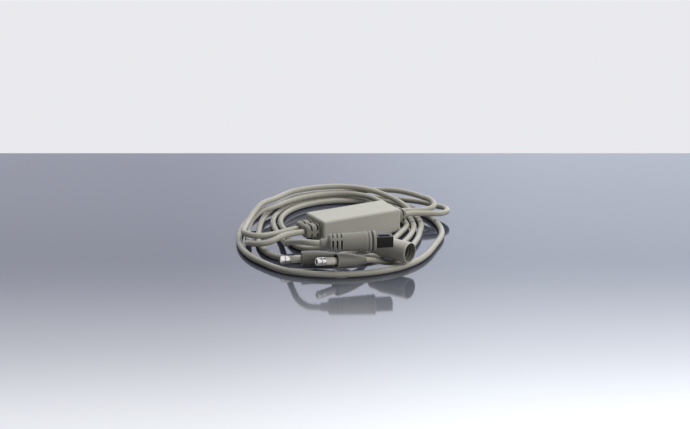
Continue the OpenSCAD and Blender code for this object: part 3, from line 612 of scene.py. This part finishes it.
# %% Materials of the inside
contact_mat = surface("contact_gold", (0.85, 0.6, 0.28), (0.7, 0.5, 0.25), (0.9, 0.7, 0.4),
                      rough=(0.2, 0.32), grain_scale=700, bump=0.08, wear_and_highlight_by=(200, 0.6, 0.4), metallic=1.0)
screw_mat = surface("screw_steel", (0.6, 0.6, 0.6), (0.45, 0.45, 0.45), (0.7, 0.7, 0.7),
                    rough=(0.25, 0.4), grain_scale=800, bump=0.1, wear_and_highlight_by=(250, 0.5, 0.7), metallic=1.0)
board_mat = surface("board_laminate", (0.02, 0.14, 0.06), (0.03, 0.18, 0.08), (0.1, 0.25, 0.15),
                    rough=(0.25, 0.4), grain_scale=1500, bump=0.1, wear_and_highlight_by=(40, 0.4, 0.3))
relay_mat = surface("relay_case", (0.02, 0.05, 0.2), (0.03, 0.07, 0.24), (0.08, 0.12, 0.3),
                    rough=(0.2, 0.32), grain_scale=900, bump=0.08, wear_and_highlight_by=(60, 0.4, 0.5))
capacitor_mat = surface("capacitor_sleeve", (0.02, 0.02, 0.035), (0.03, 0.03, 0.05), (0.08, 0.08, 0.1),
                        rough=(0.2, 0.3), grain_scale=700, bump=0.06, wear_and_highlight_by=(80, 0.4, 0.4))
wire_mat = surface("wire_insulation", (0.3, 0.02, 0.015), (0.36, 0.03, 0.02), (0.42, 0.06, 0.05),
                   rough=(0.35, 0.45), grain_scale=900, bump=0.1, wear_and_highlight_by=(100, 0.5, 0.2))
print("materials in all", len(bpy.data.materials))

# %% [markdown]
# ## Finish of the table and the sheet
# Polished stone or coated board mirrors more the flatter one looks along it. The Principled shader does
# that by itself, so the table needs a low roughness, and its colour is a ramp of painted light, from
# nearly white at the front to nearly black at the back, where the mirrored sheet makes its tone. A faint
# glow that only the camera sees pales the front further, painted light as well. The sheet glows more on
# the right, as one does that is lit from that side.

# %% Table
TABLE_FRONT_PAINTED_LIGHT, TABLE_BACK, TABLE_PAINTED_LIGHT_RAMP = (0.86, 0.875, 0.888), (0.035, 0.042, 0.072), (-0.54, -0.06)
FRONT_GLOW, NO_GLOW, FRONT_RAMP = (0.2, 0.2, 0.19), (0.0, 0.0, 0.0), (-0.52, -0.28)
TABLE_ROUGHNESS, TABLE_IOR = 0.07, 2.4


def blend(tree, value, start, end, low, high):
    """A colour that goes smoothly from low to high while the value goes from start to end."""
    ramp = tree.nodes.new("ShaderNodeMapRange")
    ramp.interpolation_type = "SMOOTHSTEP"
    ramp.inputs["From Min"].default_value = start
    ramp.inputs["From Max"].default_value = end
    tree.links.new(value, ramp.inputs["Value"])
    return add_mix(tree, ramp.outputs["Result"], low, high)


def distance_along(tree, direction):
    """How far a point of the object's own space lies along a direction: their dot product."""
    dot = tree.nodes.new("ShaderNodeVectorMath")
    dot.operation = "DOT_PRODUCT"
    dot.inputs[1].default_value = tuple(direction)
    tree.links.new(own_space(tree), dot.inputs[0])
    return dot.outputs["Value"]


table_mat = bpy.data.materials.new("table_gloss")
table_mat.use_nodes = True
table_tree = table_mat.node_tree
table_shader = table_tree.nodes["Principled BSDF"]
# Painted light: the base colour ramps from pale at the front to dark at the back.
table_painted_light = blend(table_tree, distance_along(table_tree, look), *TABLE_PAINTED_LIGHT_RAMP, TABLE_FRONT_PAINTED_LIGHT, TABLE_BACK)
table_tree.links.new(table_painted_light, table_shader.inputs["Base Color"])
table_shader.inputs["Roughness"].default_value = TABLE_ROUGHNESS
table_shader.inputs["IOR"].default_value = TABLE_IOR
# Painted light: the front of the table glows, and only the camera sees it.
front_glow = blend(table_tree, distance_along(table_tree, look), *FRONT_RAMP, FRONT_GLOW, NO_GLOW)
table_tree.links.new(front_glow, table_shader.inputs["Emission Color"])
table_tree.links.new(table_tree.nodes.new("ShaderNodeLightPath").outputs["Is Camera Ray"],
                     table_shader.inputs["Emission Strength"])
paint(table, table_mat)
print("table tone from", TABLE_FRONT_PAINTED_LIGHT, "to", TABLE_BACK)

# %% Sheet
SHEET_WHITE, GLOW_LEFT, GLOW_RIGHT = (0.82, 0.82, 0.85), (0.86, 0.88, 1.02), (1.3, 1.37, 1.56)
GLOW_ACROSS, GLOW_UP = (-0.4, 0.45), (0.09, 0.2)
sheet_mat = bpy.data.materials.new("sheet_glow")
sheet_mat.use_nodes = True
sheet_tree = sheet_mat.node_tree
sheet_shader = sheet_tree.nodes["Principled BSDF"]
sheet_shader.inputs["Base Color"].default_value = (0, 0, 0, 1)
sheet_shader.inputs["Roughness"].default_value = 1.0
sheet_shader.inputs["Specular IOR Level"].default_value = 0.0
middle = ground.dot(side)
glow = blend(sheet_tree, distance_along(sheet_tree, side), middle + GLOW_ACROSS[0], middle + GLOW_ACROSS[1],
             GLOW_LEFT, GLOW_RIGHT)
glow = blend(sheet_tree, distance_along(sheet_tree, (0, 0, 1)), *GLOW_UP, SHEET_WHITE, glow)
sheet_tree.links.new(glow, sheet_shader.inputs["Emission Color"])
sheet_shader.inputs["Emission Strength"].default_value = 1.0
paint(backdrop, sheet_mat)
print("sheet glows from", GLOW_LEFT, "to", GLOW_RIGHT)

# %% [markdown]
# ## The module
# Two moulded shells that meet in a fine line near the foot hold a small circuit. A beveled cube would be
# close, but its edges would all be alike. A stack of rounded rectangles, each with its own height, inset
# and corner radius, gives a generous rounding along the top, a small chamfer at the foot and a V groove
# where the shells meet. Each stack runs over both faces of the wall, so the shells are hollow, and the
# circuit has its room.

# %% Squared forms
EDGE_GAIN, LEAST_SPACING, CORNER_WEAR_AND_HIGHLIGHT = 0.6, 1e-6, 0.3


# The mask pales outer corners, for handling and as a painted highlight, and darkens grooves as painted
# shade.
def outer_edges(profile):
    """The angle by which a profile turns inward, over its spacing: 1 on outer corners, -1 in hollows."""
    way = np.diff(np.asarray(profile, float), axis=0)
    a, b = way[:-1], way[1:]
    turn = np.arctan2(a[:, 1] * b[:, 0] - a[:, 0] * b[:, 1], (a * b).sum(axis=1))
    spacing = 0.5 * (lengths_of(a) + lengths_of(b))[:, 0] + LEAST_SPACING
    return np.pad(np.clip(EDGE_GAIN * turn / spacing, -1, 1), 1)


def squared(levels, half_a, half_b, corner=10):
    """Rounded rectangles (quarter circles about four corner centres) stacked by (height, inset, radius)."""
    height, inset, radius = np.asarray(levels, float).T[:, :, None]
    quarter = np.linspace(0, 90, corner)
    turn = np.radians((np.arange(4)[:, None] * 90 + quarter).ravel())
    sign_a, sign_b = np.repeat([1, -1, -1, 1], corner), np.repeat([1, 1, -1, -1], corner)
    a = sign_a * (half_a - inset - radius) + radius * np.cos(turn)
    b = sign_b * (half_b - inset - radius) + radius * np.sin(turn)
    points = np.stack(np.broadcast_arrays(a, b, height), axis=2)
    ring_edge = outer_edges(np.stack([height[:, 0], -inset[:, 0]], axis=1))[:, None]
    # Upright corners are paled a little more, for handling and as a painted highlight.
    corner_edge = CORNER_WEAR_AND_HIGHLIGHT * np.abs(np.sin(2 * turn)) * np.exp(-inset)
    return close_ends(points.reshape(-1, 3), 4 * corner, np.clip(ring_edge + corner_edge, -1, 1).ravel())


print("edge mask of a square corner", np.round(outer_edges([(0, 0), (0, 1), (1, 1)]), 2))

# %% Outlines of the shells
HALF_L, HALF_W, MODULE_H, PART_Z = 45.0, 19.0, 25.0, 4.0
CORNER_R, EDGE_R, LEAST_R = 3.0, 2.6, 0.25
WALL, FLOOR_T, FOOT_RECESS = 2.4, 2.0, 0.04
ROOF, MIDDLE, SINK, SINK_REACH = MODULE_H - WALL, 18.5, 0.02, 4
COVER_RIM, FOOT_RIM, SEAM_DEPTH, SEAM_EDGE = PART_Z + 0.12, PART_Z - 0.02, 0.3, 0.08


def shell_levels(*stretches):
    """Stretches of (height, inset) as one stack, whose corner radius shrinks with the inset."""
    height, inset = np.concatenate([np.asarray(s, float) for s in stretches]).T
    return np.stack([height, inset, np.maximum(CORNER_R - inset, LEAST_R)], axis=1)


inner_roof = [(ROOF, MIDDLE), (ROOF, 12), (ROOF, 6), (ROOF, WALL + 0.6), (ROOF - 0.18, WALL + 0.18),
              (ROOF - 0.6, WALL)]
cover_rim = [(COVER_RIM, WALL), (COVER_RIM, SEAM_DEPTH), (PART_Z + 0.2, SEAM_EDGE), (PART_Z + 0.4, 0)]
upright = np.column_stack([np.linspace(5, MODULE_H - EDGE_R - 0.3, 6), np.zeros(6)])
arc = np.radians(np.arange(0, 91, 9))
top_edge = np.column_stack([MODULE_H - EDGE_R + EDGE_R * np.sin(arc), EDGE_R * (1 - np.cos(arc))])
top_insets = np.array([3.2, 4.5, 8, 12, 16, MIDDLE])
top = np.column_stack([MODULE_H - SINK * np.minimum(top_insets - EDGE_R, SINK_REACH), top_insets])
cover_levels = shell_levels(inner_roof, cover_rim, upright, top_edge, top)
foot_outside = [(FOOT_RECESS, MIDDLE), (FOOT_RECESS, 12), (FOOT_RECESS, 4), (0, 1.15), (0.08, 0.9),
                (0.85, 0.15), (1.2, 0), (2.4, 0), (PART_Z - 0.3, 0), (PART_Z - 0.1, SEAM_EDGE)]
foot_inside = [(FOOT_RIM, SEAM_DEPTH), (FOOT_RIM, WALL), (FLOOR_T + 0.4, WALL), (FLOOR_T, WALL + 0.4),
               (FLOOR_T, 6), (FLOOR_T, 12), (FLOOR_T, MIDDLE)]
foot_levels = shell_levels(foot_outside, foot_inside)
print("outlines in the top shell", len(cover_levels), "and in the foot shell", len(foot_levels))

# %% Module shells
for name, levels, node in (("module_top_shell", cover_levels, "module_cover"),
                           ("module_foot_shell", foot_levels, "module_base")):
    shell = make_piece(name, squared(levels, HALF_L, HALF_W), "cord_set", [node], sharp=40)
    paint(shell, shell_mat)

# %% [markdown]
# ## Strain reliefs
# Where a cord leaves the module, soft fingers let it bend in a wide curve, so that the wires don't break.
# Each end has two squarish lobes side by side with a rounded nose. Slots from above and below leave a web
# at mid height. They could be cut with booleans, which leave ragged faces. Here the radius depends on the
# place along the lobe and on the angle, and it falls inside the slots, so nothing is cut. A form is drawn
# along its own x axis and then set in its pose.

# %% Slotted forms
SLOT_BLEND, WEB_BLEND, EDGE_REACH, EDGE_STEP = 0.3, 0.35, 3, 0.35


def slotted(profile, slots, width, core_r, web, roll, squareness=2.0, step=0.14, sides=160):
    """Radius = profile(x) times a superellipse of u; inside a slot and off the web it falls to the core."""
    xs = np.arange(profile[0][0], profile[-1][0] + step / 2, step)[:, None]
    u = np.linspace(0, 2 * math.pi, sides, endpoint=False)[None]
    shape = (np.abs(np.cos(u)) ** squareness + np.abs(np.sin(u)) ** squareness) ** (-1 / squareness)
    r = np.interp(xs, profile[:, 0], profile[:, 1]) * shape
    off_web = ease((np.abs(np.sin(u - math.radians(roll))) * r - web / 2) / WEB_BLEND)
    start = np.asarray(slots, float)[None]
    opening, closing = ease((xs - start) / SLOT_BLEND), ease((start + width - xs) / SLOT_BLEND)
    in_slot = (opening * closing).sum(axis=1, keepdims=True)
    r = r - in_slot * off_web * np.maximum(r - core_r, 0)
    wide = np.pad(r, ((EDGE_REACH, EDGE_REACH), (0, 0)), mode="edge")
    edge = np.clip((r - 0.5 * (wide[2 * EDGE_REACH:] + wide[:-2 * EDGE_REACH])) / EDGE_STEP, 0, 1)
    # Slot floors get a negative mask, which paints shade into them.
    edge = edge * (1 - in_slot) - in_slot * off_web
    points = np.stack(np.broadcast_arrays(xs, r * np.cos(u), r * np.sin(u)), axis=2)
    return close_ends(points.reshape(-1, 3), sides, edge.ravel())


print("the walls of a slot slope over", SLOT_BLEND, "mm")

# %% Joined and posed forms
def merge(*forms):
    """Several forms as one, with each one's faces counted on from the points before it."""
    base = np.cumsum([0] + [len(f.points) for f in forms[:-1]])
    return Form(np.concatenate([f.points for f in forms]),
                np.concatenate([f.quads + b for f, b in zip(forms, base)]),
                np.concatenate([f.tris + b for f, b in zip(forms, base)]),
                np.concatenate([f.edge for f in forms]))


def shifted(form, *offset):
    """A form moved by an offset."""
    return form._replace(points=form.points + np.array(offset, float))


def posed(form, at, angle, pitch=0):
    """Raises points by the pitch, turns them about the upright by the heading and moves them in place."""
    forward, left = heading(angle, pitch), heading(angle + 90)
    axes = np.array([forward, left, np.cross(forward, left)])
    return form._replace(points=np.asarray(at, float) + form.points @ axes)


def fitting(name, form, pose, node, mat, sharp, body="cord_set"):
    """A form set in its pose, as a piece that stands for one CAD node and has its material."""
    return paint(make_piece(name, posed(form, *pose), body, [node], sharp), mat)


print("two cords leave each end at y =", -PORT_Y, "and", PORT_Y, "mm,", PORT_Z, "mm up")

# %% Strain reliefs
LOBE_R, CORE_R, RELIEF_WEB, SLOT_W, SQUARENESS = 7.0, 3.3, 3.0, 2.2, 3.1
NOSE_L, NOSE_R, NOSE_FULLNESS = 4.5, 4.4, 0.8
LEFT_L, LEFT_SLOTS = 15.0, (1.9, 8.5)
RIGHT_L, RIGHT_SLOTS = 11.5, (5.9,)


def relief_lobes(length, slots):
    """Two slotted lobes; their profile is straight, then a quarter ellipse down to the cord."""
    a = np.radians(np.arange(0, 91, 6))
    nose = np.stack([length - NOSE_L + NOSE_L * np.sin(a),
                     NOSE_R + (LOBE_R - NOSE_R) * np.abs(np.cos(a)) ** NOSE_FULLNESS], axis=1)
    root = [(0.1, LOBE_R - 0.7), (0.25, LOBE_R - 0.3), (0.6, LOBE_R)]
    lobe = slotted(np.concatenate([root, nose]), slots, SLOT_W, CORE_R, RELIEF_WEB, 0, SQUARENESS)
    return merge(shifted(lobe, 0, -PORT_Y, 0), shifted(lobe, 0, PORT_Y, 0))


for end, wall_x, turn, lobes in (("left", -HALF_L, 180, relief_lobes(LEFT_L, LEFT_SLOTS)),
                                 ("right", HALF_L, 0, relief_lobes(RIGHT_L, RIGHT_SLOTS))):
    fitting(f"{end}_relief_lobes", lobes, ((wall_x, 0, PORT_Z), turn), f"{end}_strain_relief",
            moulded_mat, sharp=50)

# %% [markdown]
# ## The plug
# A tapered body is moulded round the cord: a neck, a slotted tail that bends with it, and two rims with a
# ring seal between them at the wide end. Such a mould is turned on a lathe, and Blender's Spin tool could
# repeat that. Here a turned form is a profile of (x, radius), whose corners are rounded first. The slots
# come from the same formula as above, rolled 40 degrees about the axis, so that their web shows in front.

# %% Plug body
TAIL_SLOTS, TAIL_SLOT_W, TAIL_CORE_R, TAIL_WEB, TAIL_ROLL = (10, 14, 18), 1.9, CORE_R + 0.5, 3.0, -40
MOST_CUT = 0.45


def soften(profile, radius, steps=5):
    """Rounds each corner: a quadratic curve between points cut back along its two sides."""
    p = np.asarray(profile, float)
    corner, back, ahead = p[1:-1], p[:-2] - p[1:-1], p[2:] - p[1:-1]
    start = corner + back * np.minimum(radius / lengths_of(back), MOST_CUT)
    end = corner + ahead * np.minimum(radius / lengths_of(ahead), MOST_CUT)
    t = np.linspace(0, 1, steps)[None, :, None]
    curve = (1 - t) ** 2 * start[:, None] + 2 * t * (1 - t) * corner[:, None] + t * t * end[:, None]
    return np.concatenate([p[:1], curve.reshape(-1, 2), p[-1:]])


plug_profile = soften([
    (0, 3.9), (1, 4.15), (6.5, 4.3), (8, 7.5), (9, 8.1), (22, 8.4), (42.6, 9.2), (43.8, 8.7), (44.1, 9.3),
    (44.6, 9.7), (46.2, 9.7), (46.7, 9.2), (47.0, 8.5), (48.0, 8.5), (48.3, 9.2), (48.7, 9.7), (50.5, 9.7),
    (51, 9.2)], radius=0.5)
plug_form = slotted(plug_profile, TAIL_SLOTS, TAIL_SLOT_W, TAIL_CORE_R, TAIL_WEB, TAIL_ROLL)
plug_shell = fitting("plug_shell", plug_form, PLUG_POSE, "plug_body", moulded_mat, sharp=50)

# %% Ring seal
RING_X, RING_R, RING_HALF_L, RING_HALF_T, RING_STEPS = 47.5, 8.75, 0.55, 0.5, 16


def turned(profile, sides=72, hollow=False):
    """Points (x, r cos u, r sin u); a hollow form's profile is a loop: its last ring joins the first."""
    x, r = np.asarray(profile, float).T[:, :, None]
    u = np.linspace(0, 2 * math.pi, sides, endpoint=False)
    points = np.stack(np.broadcast_arrays(x, r * np.cos(u), r * np.sin(u)), axis=2).reshape(-1, 3)
    edge = np.repeat(outer_edges(profile), sides)
    if hollow:
        return Form(points, grid_quads(len(x), sides, wrap_rows=True), np.zeros((0, 3), int), edge)
    return close_ends(points, sides, edge)


ring_turn = np.linspace(0, 2 * math.pi, RING_STEPS, endpoint=False)
ring_profile = np.stack([RING_X + RING_HALF_L * np.cos(ring_turn), RING_R + RING_HALF_T * np.sin(ring_turn)],
                        axis=1)
ring_form = turned(ring_profile, hollow=True)
plug_ring = fitting("plug_ring_seal", ring_form, PLUG_POSE, "plug_seal", seal_mat, sharp=None)

# %% [markdown]
# ## The plug's insert
# A black block of hard plastic carries the contacts in a recess at its front. A key on its top lets it go
# in one way only. Its corners are nearly sharp, so a stack of rounded rectangles with a small radius fits
# better than a smoothed cube. The last levels turn back into the recess.

# %% Plug insert
NOSE_HALF_Y, NOSE_HALF_Z = 6.3, 5.2
KEY_HALF_Y, KEY_HALF_Z, KEY_RISE = 2.0, 0.65, 0.25
nose_levels = [(39, 0.4, 0.6), (39.4, 0, 0.9), (51, 0, 0.9), (60, 0, 0.9), (66.4, 0, 0.9),
               (66.8, 0.12, 0.8), (67, 0.4, 0.6), (67, 0.85, 0.4), (66.8, 1.0, 0.4), (64.4, 1.0, 0.4),
               (64.3, 1.1, 0.4)]
key_levels = [(53.8, 0.3, 0.3), (54.0, 0.08, 0.3), (54.3, 0, 0.3), (63.7, 0, 0.3), (64.0, 0.08, 0.3),
              (64.2, 0.3, 0.3)]
block = merge(squared(nose_levels, NOSE_HALF_Y, NOSE_HALF_Z, corner=8),
              shifted(squared(key_levels, KEY_HALF_Y, KEY_HALF_Z, corner=8), 0, NOSE_HALF_Z + KEY_RISE, 0))
block = block._replace(points=block.points[:, [2, 0, 1]])
plug_nose = fitting("plug_nose", block, PLUG_POSE, "plug_insert", insert_mat, sharp=35)

# %% [markdown]
# ## The hooded socket
# A deep round hood shields the contacts, and shallow grooves in its bore grip what is pushed in. It is a
# turned part, so one profile runs out along the outside to the mouth and back down the bore, where three
# waves of a sine make the grooves. A solid cylinder with a hole would lose the thin pale lip.

# %% Socket hood
BORE_R, GROOVE, GROOVES_FROM, GROOVES_TO, GROOVE_COUNT = 8.7, 0.22, 40.0, 50.0, 3
BORE_MOUTH, BORE_END, BORE_STEP = 53.2, 36.6, 0.4
BORE_SHADE, BORE_WALL = 0.6, 0.5


def shaded_bore(form, outside):
    """Sets the mask to painted shade wherever a point lies a wall or more inside the outside profile."""
    x, r = form.points[:, 0], lengths_of(form.points[:, 1:])[:, 0]
    inside = r < np.interp(x, *np.asarray(outside, float).T) - BORE_WALL
    return form._replace(edge=np.where(inside, -BORE_SHADE, form.edge))


bore_x = np.arange(BORE_MOUTH, BORE_END, -BORE_STEP)
wave = np.sin((bore_x - GROOVES_FROM) / (GROOVES_TO - GROOVES_FROM) * GROOVE_COUNT * 2 * math.pi)
bore_r = BORE_R + GROOVE * wave * ((bore_x > GROOVES_FROM) & (bore_x < GROOVES_TO))
hood_outline = [(0, 3.8), (0.6, 4.1), (9, 4.3), (11, 7.6), (12, 8.1), (19, 8.4), (22.5, 9.7), (24, 9.9),
                (53.2, 9.9), (54, 9.55)]
hood_outside = soften([(0, 0.02), *hood_outline, (54, 8.95), (53.4, BORE_R)], radius=0.7)
hood_floor = [(36.1, 8.7), (36.02, 8.6), (36.02, 7.35), (35.9, 7.28), (28, 7.28), (28, 0.02)]
hood_profile = np.concatenate([hood_outside, np.stack([bore_x, bore_r], axis=1), hood_floor])
# The bore of the hood is darkened with painted shade.
hood_form = shaded_bore(turned(hood_profile, sides=96), hood_outline)
hood = fitting("hood_shell", hood_form, SOCKET_POSE, "socket_hood", hood_mat, sharp=40)

# %% [markdown]
# ## Boots, sleeves and terminals
# Each short cord ends in a bright socket for a round post. A pale shrunk sleeve covers its crimp, and a
# rubber boot slides forward over both. All three are turned; the boot and the sleeve are hollow, so their
# profiles are closed loops. The boot rides on its own body, because it moves.

# %% Boots, sleeves and terminals
boot_profile = [
    (0.3, 3.2), (0, 3.5), (0, 4.0), (0.4, 4.3), (3, 4.45), (6, 4.95), (9, 5.55), (12, 6.1), (16, 6.55),
    (20, 6.85), (25, 7.0), (31.2, 7.0), (31.8, 6.85), (32, 6.5), (32, 6.1), (31.7, 5.85), (30, 5.8),
    (22, 5.8), (7, 4.4), (3.1, 3.22)]
sleeve_profile = [
    (26.1, 2.7), (26.0, 2.9), (26.0, 3.3), (26.3, 3.58), (27, 3.65), (34, 3.6), (41.8, 3.62), (42.7, 3.55),
    (43, 3.3), (43, 2.9), (42.9, 2.7)]
terminal_profile = [
    (26.2, 0.02), (26.2, 2.55), (42.9, 2.55), (43, 3.5), (43.4, 3.75), (46.9, 3.75), (47.2, 3.45),
    (47.8, 3.45), (48.1, 3.75), (50.4, 3.75), (51.6, 3.2), (52, 2.6), (51.9, 2.15), (44.6, 2.1),
    (43.8, 0.02)]
boot_form = turned(soften(boot_profile + boot_profile[:1], radius=0.3)[:-1], hollow=True)
sleeve_form = turned(sleeve_profile, hollow=True)
terminal_form = turned(soften(terminal_profile, radius=0.35))
fittings = {}
for n, pose in ((1, TERMINAL_1_POSE), (2, TERMINAL_2_POSE)):
    boot = fitting(f"boot_sleeve_{n}", boot_form, pose, f"boot_{n}", boot_mat, sharp=40,
                   body=f"boot_{n}")
    sleeve = fitting(f"crimp_sleeve_{n}", sleeve_form, pose, f"terminal_sleeve_{n}", sleeve_mat,
                     sharp=40)
    tip = fitting(f"terminal_tip_{n}", terminal_form, pose, f"terminal_{n}", terminal_mat,
                  sharp=40)
    fittings[n] = [boot, sleeve, tip]

# %% [markdown]
# ## What each cord is
# A cord is not a shape but a length of something flexible. Its declaration says where it leaves the
# module, what it ends in, how it lies and what is on it.

# %% Declared cords
DECLARED = {
    "plug_cord": ((RIGHT_END, -PORT_Y, PORT_Z), "plug", "coiled",
                  [plug_shell, plug_ring, plug_nose, nodes["plug_contacts"]]),
    "socket_cord": ((RIGHT_END, PORT_Y, PORT_Z), "connector", "coiled",
                    [hood, nodes["socket_insert"], nodes["socket_contacts"]]),
    "terminal_lead_1": ((LEFT_END, -PORT_Y, PORT_Z), "connector", "loose", fittings[1]),
    "terminal_lead_2": ((LEFT_END, PORT_Y, PORT_Z), "connector", "loose", fittings[2]),
}
for name, (place, end, lay, on_it) in DECLARED.items():
    print(name, "is", lay, "and ends in a", end)

# %% [markdown]
# ## Parts that keep their CAD shape
# Contacts, gasket, screws and the small board are plain machine shapes that the CAD model already has
# right, and most of them are inside. They could be modelled again; a material of their own is enough.

# %% Materials of the CAD nodes that stay
KEPT = {
    "plug_contacts": contact_mat, "socket_insert": insert_mat, "socket_contacts": contact_mat,
    "module_gasket": seal_mat, "module_screws": screw_mat, "circuit_board": board_mat,
    "board_relay": relay_mat, "board_capacitors": capacitor_mat, "current_shunt": contact_mat,
    "board_wires": wire_mat,
}
for node_name, mat in KEPT.items():
    paint(nodes[node_name], mat)
print("CAD nodes kept", len(KEPT))
